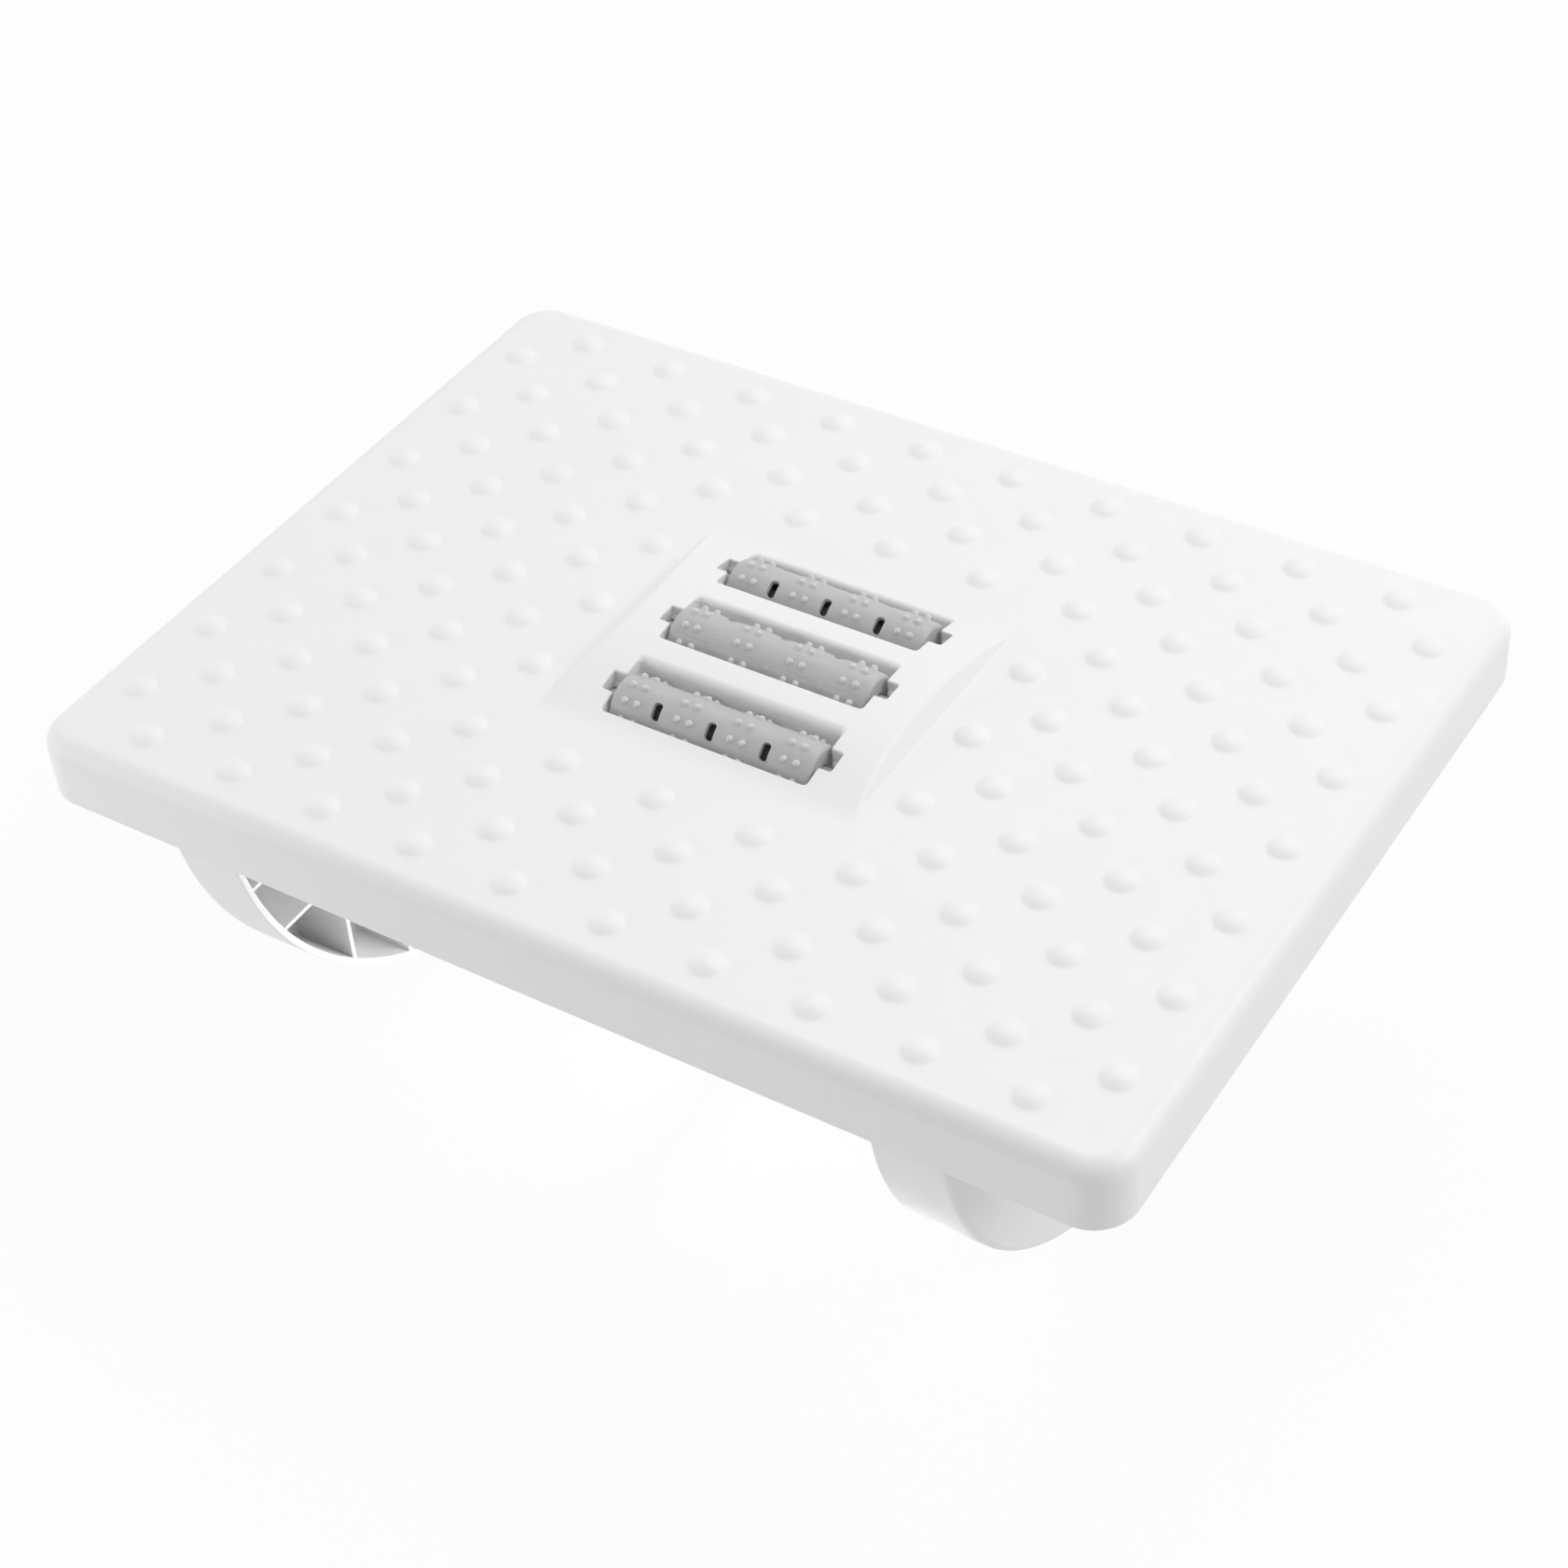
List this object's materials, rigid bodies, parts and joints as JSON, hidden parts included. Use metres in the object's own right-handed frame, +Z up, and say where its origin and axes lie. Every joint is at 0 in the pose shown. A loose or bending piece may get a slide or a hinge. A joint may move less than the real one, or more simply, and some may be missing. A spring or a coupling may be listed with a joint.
{
  "type": "rocking footrest",
  "caption": "White rocking footrest: a dome-textured tray deck on half-disc rockers, with grey nubbed massage rollers in its arched middle.",
  "frame": {"origin": "on the floor below the middle of the deck, at rest with the deck level", "axes": "+X along the deck's long side to the right, +Y from the sitter's edge to the back, +Z up"},
  "size_m": [0.41, 0.298, 0.162],
  "materials": {
    "white_plastic": "fine satin",
    "grey_plastic": "matte",
    "screw_steel": "zinc plated"
  },
  "bodies": {
    "base": {"deck": "white_plastic", "left_rocker": "white_plastic", "right_rocker": "white_plastic", "left_rocker_screw_1": "screw_steel", "left_rocker_screw_2": "screw_steel", "left_rocker_screw_3": "screw_steel", "left_rocker_screw_4": "screw_steel", "right_rocker_screw_1": "screw_steel", "right_rocker_screw_2": "screw_steel", "right_rocker_screw_3": "screw_steel", "right_rocker_screw_4": "screw_steel"},
    "back_roller": {"back_roller_shell_a": "grey_plastic", "back_roller_shell_b": "grey_plastic", "back_roller_axle": "grey_plastic"},
    "middle_roller": {"middle_roller_shell_a": "grey_plastic", "middle_roller_shell_b": "grey_plastic", "middle_roller_axle": "grey_plastic"},
    "front_roller": {"front_roller_shell_a": "grey_plastic", "front_roller_shell_b": "grey_plastic", "front_roller_axle": "grey_plastic"}
  },
  "joints": [
    {"name": "back_roller_spin", "type": "hinge", "parent": "base", "child": "back_roller", "pos_m": [0, 0.0355, 0.1466], "axis": [1, 0, 0], "continuous": true},
    {"name": "middle_roller_spin", "type": "hinge", "parent": "base", "child": "middle_roller", "pos_m": [0, 0, 0.1505], "axis": [1, 0, 0], "continuous": true},
    {"name": "front_roller_spin", "type": "hinge", "parent": "base", "child": "front_roller", "pos_m": [0, -0.0355, 0.1466], "axis": [1, 0, 0], "continuous": true}
  ]
}
